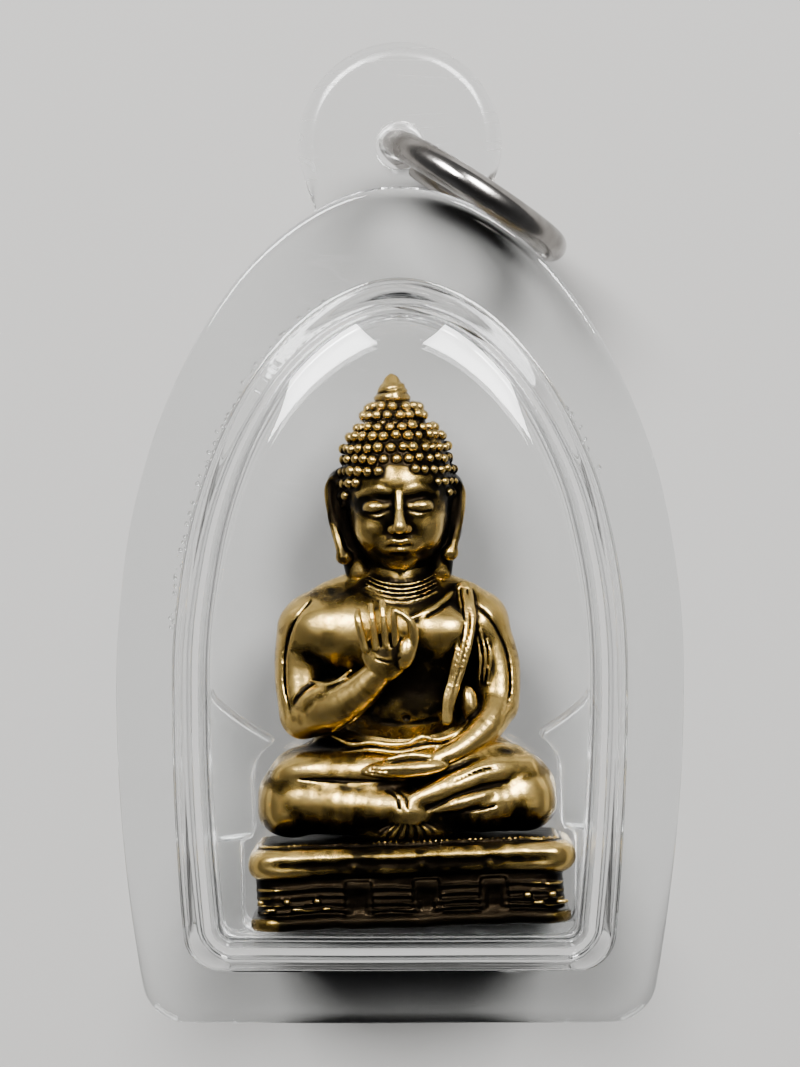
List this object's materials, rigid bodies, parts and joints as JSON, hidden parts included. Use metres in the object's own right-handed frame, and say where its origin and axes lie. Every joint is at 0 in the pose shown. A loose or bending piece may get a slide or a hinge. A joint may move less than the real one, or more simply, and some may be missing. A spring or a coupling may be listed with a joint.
{
  "type": "thai buddha amulet pendant",
  "caption": "Seated brass buddha figure in a clear acrylic waterproof case with a round ear and a steel jump ring.",
  "frame": {"origin": "under the middle of the whole outline, on the surface that the case lies on", "axes": "+Z out of the front of the case, +Y towards the ear and its ring, +X to the right seen from the front"},
  "size_m": [0.026, 0.0448, 0.012],
  "materials": {
    "clear_acrylic": "polished, clear",
    "figure_brass": "cast, dark patina in the hollows",
    "ring_steel": "polished"
  },
  "bodies": {
    "root": {"front_shell": "clear_acrylic", "back_shell": "clear_acrylic", "ear": "clear_acrylic", "holder": "clear_acrylic", "figure": "figure_brass", "jump_ring": "ring_steel"}
  },
  "joints": []
}
